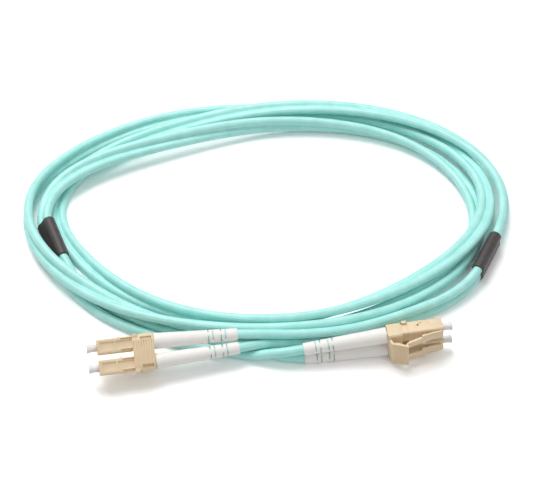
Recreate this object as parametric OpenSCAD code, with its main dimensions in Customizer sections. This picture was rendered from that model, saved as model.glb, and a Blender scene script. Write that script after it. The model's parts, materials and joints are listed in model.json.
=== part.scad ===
// Duplex fiber optic patch cord, laid in a flat coil, with two latching plugs at each end.
// +Z is up, the cord lies on the plane z = 0, and the origin is under the middle of the whole.
// End a starts at the right of the coil and ends at the left plugs. End b is the other one.
// A plug's own frame has +X to its tip, +Z to its latch side and x = 0 at the back of the clip.

/* [Cord] */
// Diameter of each jacket, in the zip cord and in the legs
jacket_d = 3.0; // [2.4:0.05:3.1]
// Distance between the centres of the two jackets of the zip cord
jacket_spacing = 3.1; // [3.05:0.05:3.3]
// Angle round a jacket at which the web between the two jackets starts
web_angle = 25; // [15:5:40]

/* [Coil] */
// Half the length of the coil's oval
coil_half_x = 75.5; // [75:0.25:77]
// Half the depth of the coil's oval
coil_half_y = 48.2; // [48:0.2:49]
// How far each pass swings out and in as the three passes cross
weave_out = 5.0; // [4.8:0.1:5.2]
// How far each pass climbs and sinks as the passes cross
weave_up = 2.2; // [2.1:0.05:2.4]
// Mean height of the cord's middle
pass_height = 4.1; // [4.1:0.05:4.6]
// Angle round the oval at which the coil leaves sleeve a
coil_start = -8; // [-12:0.5:-6]
// Angle round the oval at which the coil enters sleeve b
coil_end = 903; // [898:0.5:905]

/* [Split sleeves] */
// Length of the shrink sleeve over each split
sleeve_length = 16.4; // [12:0.2:18]
// Wall of the shrink sleeve
sleeve_wall = 0.5; // [0.3:0.05:0.7]

/* [Duplex clip] */
// Distance between the two plugs of an end
plug_pitch = 6.25; // [6:0.05:6.5]
// Length of the clip's side walls
clip_side_length = 4.4; // [4:0.1:5]
// Length of the clip's back plate
clip_back_length = 6.5; // [6:0.1:7]
// Thickness of the clip's side walls
clip_wall = 0.48; // [0.4:0.02:0.7]
// Thickness of the clip, back to latch side
clip_t = 5.8; // [5.6:0.1:6.2]
// Number of grip grooves on the back plate and on the trigger
grip_count = 8; // [4:1:10]

/* [Trigger] */
// Width of the trigger lever
trigger_w = 9.0; // [8:0.2:9.4]
// Thickness of the trigger lever
trigger_t = 0.8; // [0.6:0.05:1]
// Length of the trigger's steep root
trigger_root_length = 0.8; // [0.6:0.05:1]
// Angle of the steep root to the plug
trigger_root_angle = 79; // [75:1:85]
// Angle of the lever's flat to the plug
trigger_flat_angle = 23.5; // [22:0.5:25]
// How far the trigger reaches from the back of the clip
trigger_reach = 5.5; // [5.3:0.1:5.8]

/* [Plug] */
// Width and height of the plug body
housing_w = 4.5; // [4.4:0.05:4.6]
// Width and height of its rear, which the clip holds
housing_rear_w = 4.1; // [4:0.05:4.2]
// Distance from the back of the clip to the front of the plug
housing_front = 17.3; // [17:0.1:17.6]
// Diameter of the cavity round the ferrule
cavity_d = 3.3; // [2.9:0.05:3.5]
// Depth of the cavity round the ferrule
cavity_depth = 6.0; // [5.6:0.1:6.2]
// Diameter of the spring chamber
chamber_d = 3.2; // [3.15:0.05:3.4]
// Thickness of the wall between cavity and chamber
partition_t = 1.2; // [1:0.1:1.4]
// Depth of the panels in the plug body's faces
panel_depth = 0.3; // [0.1:0.05:0.35]

/* [Latch] */
// Width of the latch arm at its root
latch_root_w = 3.1; // [2.6:0.1:3.4]
// Width across the latch's two shoulders
latch_shoulder_w = 3.8; // [3.5:0.1:4.2]
// Width of the latch arm behind its shoulders
latch_arm_w = 2.1; // [1.7:0.1:2.3]
// Thickness of the latch arm
latch_t = 0.7; // [0.6:0.05:0.8]
// Length of the latch from its hinge to its tip
latch_length = 11.1; // [10.9:0.1:11.2]

/* [Ferrule] */
// Diameter of the ferrule
ferrule_d = 1.25; // [1.2:0.05:1.3]
// Length of the ferrule
ferrule_length = 11.2; // [10.8:0.1:11.4]
// How far the ferrule stands out of the plug's front
ferrule_reach = 2.5; // [2.2:0.1:2.6]
// Diameter of the holder's flange
flange_d = 2.9; // [2.7:0.05:3]
// Diameter of the holder's neck
neck_d = 1.8; // [1.7:0.05:1.85]
// How far the ferrule can be pushed in against its spring
ferrule_travel = 0.5; // [0.3:0.05:0.6]
// Wire diameter of the spring
spring_wire = 0.36; // [0.3:0.02:0.4]
// Outer diameter of the spring
spring_d = 2.8; // [2.6:0.05:2.9]
// Turns of the spring
spring_turns = 5; // [3:1:6]
// Diameter of the buffered fibre
buffer_d = 0.9; // [0.8:0.02:0.92]

/* [Crimp] */
// Diameter of the crimp barrel
barrel_d = 2.9; // [2.6:0.05:2.9]
// Length of the crimp barrel
barrel_length = 5.0; // [4:0.1:5.4]
// Wall of the crimp sleeve
crimp_wall = 0.35; // [0.25:0.05:0.4]
// Length of the crimp sleeve
crimp_length = 5.0; // [4:0.1:5.6]

/* [Boot] */
// Length of the boot
boot_length = 26.0; // [24:0.2:27]
// Diameter of the boot at the plug
boot_base_d = 5.0; // [4.9:0.05:5.2]
// Diameter of the boot at its mouth
boot_mouth_d = 3.8; // [3.7:0.05:4.2]
// Distance between the mouths of the two boots of an end
boot_mouth_pitch = 4.2; // [4.2:0.05:4.6]
// Width of the slots that let the boot flex
slot_w = 0.4; // [0.3:0.05:0.5]

/* [Dust cap] */
// Outer diameter of the cap's tube
cap_d = 2.3; // [2:0.05:2.5]
// Outer diameter of the cap's flared end
cap_flare_d = 2.9; // [2.6:0.05:3.1]
// How far the cap stands out of the plug's front
cap_reach = 3.1; // [3:0.1:3.6]

/* [Hidden] */
ENDS = ["a", "b"];
PLUGS = ["a1", "a2", "b1", "b2"];
PLUG_PIECES = ["housing_", "latch_", "ferrule_", "ferrule_holder_", "spring_", "fibre_",
    "rear_body_", "crimp_sleeve_", "boot_", "dust_cap_", "leg_"];
END_PIECES = ["clip_", "trigger_", "split_sleeve_"];
$fn = 24;

// colours
aqua = "#A6E4D6";
aqua_leg = "#A9E7DA";
beige = "#EBD9B4";
boot_white = "#F4F0EA";
shrink_black = "#474140";

// running and seating gaps
slip = 0.05;
fit = 0.1;
eps = 0.01;

// ---- coil ----
// The oval's middle, and its departures from an ellipse as shares of the radius
coil_middle = [-0.012 * coil_half_x, 0.1217 * coil_half_y];
skew_2 = 0.045;
lean_x = 0.012;
lean_y = 0.033;
square_4 = 0.007;
skew_4 = -0.012;
// The three passes form a braid: each goes out, in, up and down once in 1.5 turns.
weave_phase = 10;
roll_mean = 90;
roll_swing = 105;
rings_per_loop = 24;
// Stretches where a pass lies off the braid: angle, half width, outward and upward in jacket
// diameters, and roll
local_bends = [[58, 50, -0.67, 0.27, 0], [187, 60, -0.63, -0.13, 15], [310, 80, 0.83, 0, 0],
    [474, 45, 1.27, 0, 0], [620, 60, -0.83, -0.37, 80], [685, 70, 0.9, 0, 0],
    [735, 50, -0.73, 0, 0], [850, 45, -0.7, 0.07, 0], [911, 40, 0.53, -0.33, -45]];
// Angle that sleeve b spans on the oval
sleeve_b_span = 18.5;

half_spacing = jacket_spacing / 2;
jacket_r = jacket_d / 2;

function unit(v) = v / norm(v);
function total(v) = v * [for (x = v) 1];
function oval_share(t) = 1 + skew_2 * sin(2 * t) + lean_x * (cos(t) - cos(3 * t))
    + lean_y * (sin(t) + sin(3 * t)) - square_4 * (1 - cos(4 * t)) + skew_4 * sin(4 * t);
function oval(t) = coil_middle + oval_share(t) * [coil_half_x * cos(t), coil_half_y * sin(t)];
function outward(t) = let (d = unit(oval(t + eps) - oval(t - eps))) [d.y, -d.x];
function bend(t, k) = total([for (b = local_bends) pow(cos(90 * min(1, abs(t - b[0]) / b[1])), 2) * b[k]]);
function weave(t) = (t + weave_phase) * 2 / 3;
function pass_out(t) = weave_out * cos(weave(t)) + jacket_d * bend(t, 2);
function pass_up(t) = pass_height + weave_up * sin(2 * weave(t)) + jacket_d * bend(t, 3);
function pass(t) = let (p = oval(t) + pass_out(t) * outward(t)) [p.x, p.y, pass_up(t)];
function pair_roll(t) = roll_mean + roll_swing * sin(weave(t)) + bend(t, 4);

// A frame on the cord: its direction, the level axis to its right and the axis above it.
function right_of(d) = unit([d.y, -d.x, 0]);
function above(d) = cross(right_of(d), d);
function across(p, d, roll, u, v) = p
    + right_of(d) * (u * cos(roll) - v * sin(roll)) + above(d) * (u * sin(roll) + v * cos(roll));
function on_floor(p) = [p.x, p.y, max(0, p.z)];

// Both sleeves are straight, so the cord and the legs are straight in them.
a_lead = pass(coil_start) - pass(coil_start - 0.5);
a_dir = unit([a_lead.x, a_lead.y, 0]);
a_inner = pass(coil_start);
b_dir = unit(pass(coil_end + sleeve_b_span) - pass(coil_end));
b_inner = pass(coil_end);
// Straight stretch of the zip cord before each sleeve
sleeve_lead = 1.5;
function sleeve_dir(e) = e == "a" ? a_dir : b_dir;
function sleeve_roll(e) = pair_roll(e == "a" ? coil_start : coil_end);
function sleeve_point(e, s) = e == "a" ? a_inner - a_dir * (sleeve_lead + s) : b_inner + b_dir * (sleeve_lead + s);

ring_count = ceil((coil_end - coil_start) * rings_per_loop / 360);
ring_angles = [for (i = [0:ring_count]) coil_start + (coil_end - coil_start) * i / ring_count];
zip_points = concat([sleeve_point("a", sleeve_length / 2)], [for (t = ring_angles) pass(t)],
    [sleeve_point("b", sleeve_length / 2)]);
zip_rolls = concat([sleeve_roll("a")], [for (t = ring_angles) pair_roll(t)], [sleeve_roll("b")]);
zip_last = len(zip_points) - 1;
lobe_angles = [for (k = [0:5]) (180 - web_angle) * (2 * k / 5 - 1)];
zip_profile = concat([for (g = lobe_angles) [half_spacing + jacket_r * cos(g), jacket_r * sin(g)]],
    [for (g = lobe_angles) [-half_spacing - jacket_r * cos(g), -jacket_r * sin(g)]]);
zip_cap = [[0, 1, 2], [0, 2, 3], [0, 3, 4], [0, 4, 5], [0, 5, 6],
    [0, 6, 11], [6, 7, 8], [6, 8, 9], [6, 9, 10], [6, 10, 11]];

function direction(points, i) = unit(points[min(i + 1, len(points) - 1)] - points[max(i - 1, 0)]);

// Least gap between two passes of the cord, on points along the middles of its jackets
gap_step = 5;
function lobe(t, side) = across(pass(t), unit(pass(t + 1) - pass(t - 1)), pair_roll(t), side * half_spacing, 0);
lobe_points = [for (t = [coil_start:gap_step:coil_end]) [lobe(t, -1), lobe(t, 1)]];
least_gap = min([for (i = [0:len(lobe_points) - 1]) for (j = [i + 90 / gap_step:1:len(lobe_points) - 1])
    for (s = [0, 1]) for (q = [0, 1]) norm(lobe_points[i][s] - lobe_points[j][q])]) - jacket_d;
echo(least_gap_between_passes = least_gap);

// A tube swept over rings of points, with triangles given for its two end caps
module sweep(rings, cap) {
    n = len(rings[0]);
    last = (len(rings) - 1) * n;
    sides = [for (i = [0:len(rings) - 2]) for (j = [0:n - 1])
        let (a = i * n + j, b = i * n + (j + 1) % n) each [[a, b, b + n], [a, b + n, a + n]]];
    starts = [for (f = cap) [f[2], f[1], f[0]]];
    stops = [for (f = cap) [f[0] + last, f[1] + last, f[2] + last]];
    polyhedron([for (r = rings) each r], concat(sides, starts, stops));
}

module zip_cord() {
    color(aqua)
        sweep([for (i = [0:zip_last]) [for (p = zip_profile)
            on_floor(across(zip_points[i], direction(zip_points, i), zip_rolls[i], p.x, p.y))]], zip_cap);
}

// ---- split sleeves ----
module oblong(r) {
    for (s = [-1, 1])
        translate([s * half_spacing, 0])
            circle(r);
    square([jacket_spacing, 2 * r], center = true);
}

module split_sleeve(e) {
    d = sleeve_dir(e) * (e == "a" ? -1 : 1);
    r = right_of(d);
    turn = e == "a" ? 180 - sleeve_roll(e) : sleeve_roll(e);
    color(shrink_black)
        translate(sleeve_point(e, 0))
            rotate([0, -asin(d.z), atan2(d.y, d.x)])
                rotate([90, 0, 90])
                    rotate([0, 0, 180 - turn])
                        linear_extrude(sleeve_length)
                            difference() {
                                oblong(jacket_r + fit + sleeve_wall);
                                oblong(jacket_r + fit);
                            }
}

// ---- plug frames ----
bore_w = housing_rear_w + 2 * slip;
clip_w = plug_pitch + bore_w + 2 * clip_wall;
// A place round the coil: angle, share of the oval's half sizes, and height
function round_coil(angle, share, z) = [coil_middle.x + share * coil_half_x * cos(angle),
    coil_middle.y + share * coil_half_y * sin(angle), z];
// Where each clip lies and how it is turned, about X, then Y, then Z. Clip a leans on its
// trigger and clip b lies on its side.
clip_place = [round_coil(249.7, 1.299, 1.41 * clip_t), round_coil(294.34, 1.2167, 0.52 * clip_w)];
clip_turn = [[149.3, -2.9, 190.6], [85.8, -4, 7.3]];
function end_index(e) = e[0] == "a" ? 0 : 1;
function plug_side(p) = p[1] == "1" ? -1 : 1;
function turned(v, r) = let (a = [v.x, v.y * cos(r.x) - v.z * sin(r.x), v.y * sin(r.x) + v.z * cos(r.x)],
    b = [a.x * cos(r.y) + a.z * sin(r.y), a.y, a.z * cos(r.y) - a.x * sin(r.y)])
    [b.x * cos(r.z) - b.y * sin(r.z), b.x * sin(r.z) + b.y * cos(r.z), b.z];
function placed(p, v) = clip_place[end_index(p)] + turned(v, clip_turn[end_index(p)]);

// The boots and what they hold lean together, from the pitch of the plugs to that of the mouths.
boot_gap = 0.1;
boot_lean = asin((plug_pitch - boot_mouth_pitch) / 2 / (boot_length + boot_gap));
function tail_point(p, s) = placed(p, [-s * cos(boot_lean),
    plug_side(p) * (plug_pitch / 2 - s * sin(boot_lean)), 0]);

module at_clip(e) {
    translate(clip_place[end_index(e)])
        rotate(clip_turn[end_index(e)])
            children();
}
module at_plug(p) {
    at_clip(p)
        translate([0, plug_side(p) * plug_pitch / 2, 0])
            children();
}
module tail_turn(p) {
    rotate([0, 0, plug_side(p) * boot_lean])
        children();
}
// A cylinder and a cone along the plug's axis, from x0 to x1
module rod(x0, x1, d, d1) {
    translate([x0, 0, 0])
        rotate([0, 90, 0])
            cylinder(h = x1 - x0, d1 = d, d2 = is_undef(d1) ? d : d1);
}

// ---- legs ----
// Free stretch of each leg, from its sleeve to its boot: angle round the coil, share of the
// oval's half sizes, and height in jacket diameters
leg_routes = [
    [[324.9, 1.065, 0.7], [319.4, 1.069, 0.55], [314.1, 1.068, 0.55], [309.1, 1.061, 0.55], [304, 1.056, 0.55],
     [297.3, 1.055, 0.55], [290.7, 1.063, 0.55], [284.7, 1.066, 0.55], [278.8, 1.069, 0.75], [275, 1.075, 1],
     [272, 1.088, 1.3], [269.2, 1.112, 1.6]],
    [[325.1, 1.059, 1.75], [319.7, 1.061, 1.65], [314.4, 1.058, 1.6], [309.5, 1.051, 1.6], [304.5, 1.047, 1.6],
     [297.5, 1.048, 1.6], [291, 1.053, 1.65], [284.8, 1.06, 1.85], [278.9, 1.065, 2.1], [274.2, 1.067, 2.25],
     [270.2, 1.069, 2.4]],
    [[209.3, 0.971, 1.35], [215.3, 0.988, 0.9], [221.8, 1.002, 0.6], [230, 1.018, 0.55], [237.6, 1.029, 0.55],
     [244.4, 1.042, 0.55], [251, 1.053, 0.55], [257, 1.062, 0.55], [261.8, 1.073, 0.55], [265.4, 1.087, 0.55],
     [268.3, 1.106, 0.55], [270.9, 1.135, 0.55], [273.3, 1.166, 0.55]],
    [[209.5, 1.014, 0.75], [216, 1.039, 0.55], [222.8, 1.057, 0.55], [231, 1.08, 0.55], [238.4, 1.094, 0.55],
     [245, 1.105, 0.55], [251.3, 1.119, 0.55], [257.3, 1.128, 0.55], [261.6, 1.14, 0.55], [264.7, 1.152, 0.55],
     [267.1, 1.165, 0.75], [269.3, 1.174, 1.1], [271.3, 1.181, 1.45], [273.4, 1.187, 1.75]]];
leg_lobes = [-1, 1, -1, 1];
leg_sides = 8;
// The leg ends in the crimp sleeve, just behind the barrel.
leg_stop = barrel_length + fit;

function leg_start(p, s) = across(sleeve_point(p[0], s), sleeve_dir(p[0]), sleeve_roll(p[0]),
    leg_lobes[search([p], PLUGS)[0]] * half_spacing, 0);
function leg_points(p) = concat([leg_start(p, sleeve_length / 2), leg_start(p, sleeve_length)],
    [for (r = leg_routes[search([p], PLUGS)[0]]) round_coil(r[0], r[1], r[2] * jacket_d)],
    [for (s = [boot_length + boot_gap, boot_length + boot_gap - jacket_d, leg_stop]) tail_point(p, s)]);

module leg(p) {
    points = leg_points(p);
    color(aqua_leg)
        sweep([for (i = [0:len(points) - 1]) [for (k = [0:leg_sides - 1])
            let (g = 360 * k / leg_sides)
                across(points[i], direction(points, i), 0, jacket_r * cos(g), jacket_r * sin(g))]],
            [for (k = [1:leg_sides - 2]) [0, k, k + 1]]);
}

// ---- clip ----
half_w = housing_w / 2;
back_t = (clip_t - bore_w) / 2;
clip_slope_w = 2.05;
back_flat_w = clip_w - 2 * clip_slope_w;
back_slope = 0.9;
clip_chamfer = 0.4;
window_w = 1.0;
window_inset = 1.45;
window_margin = 0.6;
window_end = 0.36;
groove_w = 0.3;
groove_depth = 0.2;
// The first and the last groove stand this share of a step from the back plate's ends.
grip_edge = 0.7;
clip_grip_step = clip_back_length / (grip_count - 1 + 2 * grip_edge);
// A hook at each side of the back plate holds the plug's side.
hook_x = 4.9;
hook_length = 1.5;
hook_w = 1.0;
hook_h = 1.0;
hook_proud = 0.15;

module clip_outline() {
    polygon([[-clip_w / 2, clip_t / 2 - clip_chamfer], [-clip_w / 2 + clip_chamfer, clip_t / 2],
        [clip_w / 2 - clip_chamfer, clip_t / 2], [clip_w / 2, clip_t / 2 - clip_chamfer],
        [clip_w / 2, back_slope - clip_t / 2], [back_flat_w / 2, -clip_t / 2],
        [-back_flat_w / 2, -clip_t / 2], [-clip_w / 2, back_slope - clip_t / 2]]);
}

module clip(e) {
    window_y = clip_w / 2 - window_inset;
    color(beige)
        at_clip(e)
            difference() {
                union() {
                    rotate([90, 0, 90])
                        linear_extrude(clip_side_length)
                            clip_outline();
                    intersection() {
                        rotate([90, 0, 90])
                            linear_extrude(clip_back_length)
                                clip_outline();
                        translate([0, -clip_w, -clip_t / 2])
                            cube([clip_back_length, 2 * clip_w, back_t]);
                    }
                    for (s = [-1, 1])
                        translate([hook_x, s * (clip_w / 2 + hook_proud - hook_w / 2) - hook_w / 2,
                            -(clip_t - back_t) / 2])
                            cube([hook_length, hook_w, hook_h]);
                }
                for (s = [-1, 1])
                    translate([-eps, s * plug_pitch / 2 - bore_w / 2, -bore_w / 2])
                        cube([clip_back_length + 1, bore_w, bore_w]);
                for (s = [-1, 1])
                    translate([window_margin, s * window_y - window_w / 2, -clip_t])
                        cube([clip_side_length - window_margin - window_end, window_w, clip_t - bore_w / 2 + 0.2]);
                for (k = [0:grip_count - 1])
                    translate([(k + grip_edge) * clip_grip_step, -back_flat_w / 2, -clip_t])
                        cube([groove_w, back_flat_w, clip_t / 2 + groove_depth]);
            }
}

// ---- trigger ----
trigger_pin_r = 0.4;
trigger_bend_r = 1.0;
trigger_lip_t = 0.5;
trigger_lip_depth = 1.6;
// The lever's root is thicker: where its underside is lowest and where it ends, along the flat
trigger_wedge = [1.4, 2.6];
trigger_wedge_t = 0.35;
trigger_pin = [0.6, clip_t / 2 + slip + trigger_pin_r];
bend_steps = 6;

// The lever's middle line: a steep root, a bend and a flat
root_top = trigger_pin + trigger_root_length * [cos(trigger_root_angle), sin(trigger_root_angle)];
bend_middle = root_top + trigger_bend_r * [sin(trigger_root_angle), -cos(trigger_root_angle)];
lever_angles = [for (k = [0:bend_steps])
    trigger_root_angle + (trigger_flat_angle - trigger_root_angle) * k / bend_steps];
bend_end = bend_middle + trigger_bend_r * [-sin(trigger_flat_angle), cos(trigger_flat_angle)];
lever_tip = [trigger_reach, bend_end.y + (trigger_reach - bend_end.x) * tan(trigger_flat_angle)];
lip_top = trigger_t / 2 / cos(trigger_flat_angle);
trigger_grip_step = (lever_tip.x - trigger_lip_t - bend_end.x) / grip_count;
function under_flat(s, t) = bend_end + s * [cos(trigger_flat_angle), sin(trigger_flat_angle)]
    + (trigger_t / 2 + t) * [sin(trigger_flat_angle), -cos(trigger_flat_angle)];
function lever_arc(s, order) = [for (k = order)
    bend_middle + (trigger_bend_r + s * trigger_t / 2) * [-sin(lever_angles[k]), cos(lever_angles[k])]];
root_side = 0.9 * trigger_pin_r * [-sin(trigger_root_angle), cos(trigger_root_angle)];
lever_outline = concat([trigger_pin + root_side], lever_arc(1, [0:bend_steps]),
    [lever_tip + [0, lip_top], lever_tip + [0, lip_top - trigger_lip_depth],
        lever_tip + [-trigger_lip_t, lip_top - trigger_lip_depth],
        lever_tip - [trigger_lip_t, trigger_lip_t * tan(trigger_flat_angle) + lip_top],
        under_flat(trigger_wedge[1], 0), under_flat(trigger_wedge[0], trigger_wedge_t)],
    lever_arc(-1, [bend_steps:-1:0]), [trigger_pin - root_side]);

module lever_bar() {
    translate([0, trigger_w / 2, 0])
        rotate([90, 0, 0])
            linear_extrude(trigger_w)
                children();
}

module trigger(e) {
    color(beige)
        at_clip(e)
            difference() {
                union() {
                    lever_bar()
                        polygon(lever_outline);
                    lever_bar()
                        translate(trigger_pin)
                            circle(trigger_pin_r);
                }
                for (k = [1:grip_count - 1])
                    translate([bend_end.x + k * trigger_grip_step, -trigger_w,
                        bend_end.y + k * trigger_grip_step * tan(trigger_flat_angle) + lip_top - groove_depth])
                        cube([groove_w, 2 * trigger_w, 1]);
            }
}

// ---- housing ----
housing_back = 0.4;
front_rim = 1.1;
panel_w = 2.6;
panel_length = 4.15;
panel_rib = 0.6;
side_hole_d = 0.7;
// The side hole's and the dimple's distances from the front, and their offset to the back
side_hole = 7.6;
dimple = 4.2;
side_mark_z = -0.4;
dimple_depth = 0.1;
corner_cut = 0.3;
// Narrow grooves beside the rear panel
edge_groove_w = 0.5;
edge_groove_y = 1.7;
edge_groove_depth = 0.5;
edge_groove_front = 7.3;
// Small tabs at the back edges of the side faces: distance from the front, length, height, how proud
tab_x = 7.4;
tab_length = 1.0;
tab_h = 0.9;
tab_proud = 0.25;
chamber_end = housing_front - cavity_depth - partition_t;
neck_hole_d = neck_d + 4 * slip;
panel_1_x = housing_front - front_rim - panel_length;
step_x = clip_back_length + slip;

module square_bar(x0, x1, w, cut) {
    translate([x0, 0, 0])
        rotate([90, 0, 90])
            linear_extrude(x1 - x0)
                polygon([for (q = [0:3]) for (s = [-1, 1])
                    let (x = w / 2, y = s * (w / 2 - cut))
                        [x * cos(90 * q) - y * sin(90 * q), x * sin(90 * q) + y * cos(90 * q)]]);
}

module housing(p) {
    color(beige)
        at_plug(p)
            difference() {
                union() {
                    square_bar(housing_back, step_x + eps, housing_rear_w, corner_cut);
                    square_bar(step_x, housing_front, housing_w, corner_cut);
                    translate([housing_front - tab_x, -half_w - tab_proud, -half_w + corner_cut])
                        cube([tab_length, housing_w + 2 * tab_proud, tab_h]);
                }
                rod(housing_back - 1, chamber_end, chamber_d);
                rod(housing_front - cavity_depth, housing_front + 1, cavity_d);
                rod(chamber_end - 1, housing_front - cavity_depth + 1, neck_hole_d);
                translate([panel_1_x, -panel_w / 2, -half_w - 1])
                    cube([panel_length, panel_w, 1 + panel_depth]);
                translate([step_x, -panel_w / 2, -half_w - 1])
                    cube([panel_1_x - panel_rib - step_x, panel_w, 1 + panel_depth]);
                for (s = [-1, 1])
                    translate([step_x - 1, s * edge_groove_y - edge_groove_w / 2, -half_w - 1])
                        cube([housing_front - edge_groove_front - step_x + 1, edge_groove_w, 1 + edge_groove_depth]);
                translate([housing_front - side_hole, 0, side_mark_z])
                    rotate([90, 0, 0])
                        cylinder(h = 2 * housing_w, d = side_hole_d, center = true);
                for (s = [-1, 1])
                    translate([housing_front - dimple, s * half_w, side_mark_z])
                        rotate([90, 0, 0])
                            cylinder(h = 2 * dimple_depth, d = side_hole_d, center = true);
            }
}

// ---- latch ----
latch_pin_r = 0.3;
latch_pin = [housing_front - 1.0, half_w + slip + latch_pin_r];
// The latch's middle line rises in two steps from its flat root: length and rise of each stretch
latch_steps = [[3.0, 5], [3.3, 17], [latch_length - 6.3, 14.7]];
root_t = 0.5;
shoulder_front = 5.8;
shoulder_length = 1.2;

module latch(p) {
    steps = [for (v = latch_steps) [-v[0], v[0] * tan(v[1])]];
    knee = latch_pin + steps[0];
    rise = knee + steps[1];
    tip = rise + steps[2];
    half = [0, latch_t / 2];
    shoulder_x = housing_front - shoulder_front - shoulder_length;
    color(beige)
        at_plug(p)
            intersection() {
                translate([0, housing_w, 0])
                    rotate([90, 0, 0])
                        linear_extrude(2 * housing_w) {
                            translate(latch_pin)
                                circle(latch_pin_r);
                            polygon([latch_pin + [0, latch_pin_r], knee + [0, root_t / 2], rise + half,
                                tip + [0.3, 0] + half, tip + [0, 0.1], tip - [0, 0.1], tip + [0.2, 0] - half,
                                rise - half, knee - [0, root_t / 2], latch_pin - [0, latch_pin_r]]);
                        }
                linear_extrude(4 * housing_w) {
                    translate([shoulder_x, -latch_root_w / 2])
                        square([housing_front - shoulder_x, latch_root_w]);
                    translate([shoulder_x, -latch_shoulder_w / 2])
                        square([shoulder_length, latch_shoulder_w]);
                    translate([tip.x + latch_arm_w / 2, -latch_arm_w / 2])
                        square([shoulder_x + eps - tip.x - latch_arm_w / 2, latch_arm_w]);
                    translate([tip.x + latch_arm_w / 2, 0])
                        circle(latch_arm_w / 2);
                }
            }
}

// ---- ferrule group ----
ferrule_tip = housing_front + ferrule_reach;
ferrule_back = ferrule_tip - ferrule_length;
flange_front = chamber_end - 0.2;
flange_back = flange_front - 1.8;
neck_front = housing_front - cavity_depth + 0.8;
ferrule_seat_d = ferrule_d + 0.02;
buffer_seat_d = buffer_d + 0.02;
spigot_front = 3.0;

module ferrule(p) {
    color("white")
        at_plug(p) {
            rod(ferrule_back, ferrule_tip - 0.2 + eps, ferrule_d);
            rod(ferrule_tip - 0.2, ferrule_tip, ferrule_d, ferrule_d - 0.3);
        }
}

module ferrule_holder(p) {
    color("silver")
        at_plug(p)
            difference() {
                union() {
                    rod(flange_back, flange_front, flange_d);
                    rod(flange_front - eps, neck_front, neck_d);
                }
                rod(ferrule_back, neck_front + 1, ferrule_seat_d);
                rod(flange_back - 1, ferrule_back + eps, buffer_seat_d);
            }
}

module spring(p) {
    coil_r = (spring_d - spring_wire) / 2;
    x0 = spigot_front + spring_wire / 2 + eps;
    x1 = flange_back - ferrule_travel - fit - spring_wire / 2;
    steps = 8 * spring_turns;
    climb = (x1 - x0) / (360 * spring_turns);
    color("silver")
        at_plug(p)
            sweep([for (i = [0:steps])
                let (t = 360 * spring_turns * i / steps, out = [0, cos(t), sin(t)],
                    d = unit([climb * 180 / PI, -coil_r * sin(t), coil_r * cos(t)]), side = cross(out, d))
                    [for (k = [0:5]) [x0 + climb * t, 0, 0] + out * coil_r
                        + spring_wire / 2 * (out * cos(60 * k) + side * -sin(60 * k))]],
                [for (k = [1:4]) [0, k, k + 1]]);
}

module fibre(p) {
    color("white")
        at_plug(p)
            rod(ferrule_travel + 2 * fit - leg_stop, ferrule_back, buffer_d);
}

// ---- rear body and crimp ----
bore_d = buffer_d + 0.6;
collar_d = 3.8;
module rear_body(p) {
    color("silver")
        at_plug(p)
            difference() {
                union() {
                    rod(housing_back - eps, spigot_front, chamber_d - 2 * slip);
                    rod(0, housing_back, collar_d);
                    tail_turn(p)
                        rod(-barrel_length, 0.3, barrel_d);
                }
                rod(-barrel_length - 1, spigot_front + 1, bore_d);
            }
}

crimp_bore_d = max(barrel_d, jacket_d) + fit;
crimp_front = -0.8;
module crimp_sleeve(p) {
    color("silver")
        at_plug(p)
            tail_turn(p)
                difference() {
                    rod(crimp_front - crimp_length, crimp_front, crimp_bore_d + 2 * crimp_wall);
                    rod(crimp_front - crimp_length - 1, crimp_front + 1, crimp_bore_d);
                }
}

// ---- boot ----
boot_bore_d = jacket_d + 2 * fit;
boot_chamber_d = crimp_bore_d + 2 * crimp_wall + 2 * fit;
boot_chamber_depth = crimp_length - crimp_front + 0.5;
// Slots: share of the boot's length at which each lies, and its turn about the axis
slot_shares = [[0.65, 0], [0.703, 90], [0.8, 0], [0.853, 90]];
slot_bridge = 1.3;
// How each boot is turned on its plug
boot_turns = [-5, 22, -75, -62];

module boot(p) {
    mouth = -boot_gap - boot_length;
    color(boot_white)
        at_plug(p)
            tail_turn(p)
                difference() {
                    rod(mouth, -boot_gap, boot_mouth_d, boot_base_d);
                    rod(mouth - 1, -boot_gap - boot_chamber_depth + eps, boot_bore_d);
                    rod(-boot_gap - boot_chamber_depth, 1, boot_chamber_d);
                    for (q = slot_shares)
                        rotate([boot_turns[search([p], PLUGS)[0]] + q[1], 0, 0])
                            for (s = [-1, 1])
                                translate([-boot_gap - q[0] * boot_length - slot_w / 2,
                                    s * (slot_bridge + boot_base_d) / 2 - boot_base_d / 2, -boot_base_d])
                                    cube([slot_w, boot_base_d, 2 * boot_base_d]);
                }
}

// ---- dust cap ----
cap_mouth = neck_front + 1.4;
cap_end_t = 0.4;
flare_length = 1.3;
module dust_cap(p) {
    end = housing_front + cap_reach;
    floor_x = max(end - cap_end_t, ferrule_tip + fit);
    color("white", 0.6)
        at_plug(p)
            difference() {
                union() {
                    rod(cap_mouth, end, cap_d);
                    rod(end - flare_length, end, cap_d, cap_flare_d);
                }
                rod(cap_mouth - 1, floor_x, ferrule_d + slip);
            }
}

zip_cord();
for (e = ENDS) {
    split_sleeve(e);
    clip(e);
    trigger(e);
}
for (p = PLUGS) {
    leg(p);
    housing(p);
    latch(p);
    ferrule(p);
    ferrule_holder(p);
    spring(p);
    fibre(p);
    rear_body(p);
    crimp_sleeve(p);
    boot(p);
    dust_cap(p);
}
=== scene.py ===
# %% [markdown]
# # A coiled fiber optic patch cord
# The object is a two-lobed "zip" cord in a flat coil. Near each end it splits, under a dark
# shrink sleeve, into two legs, and each leg runs through a white boot into a small latching plug.
# The hard pieces come from the CAD frame. This lesson dresses them: it sweeps smooth cords along
# the frame's routes, rounds the moulded edges, and gives every surface its own finish.

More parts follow.
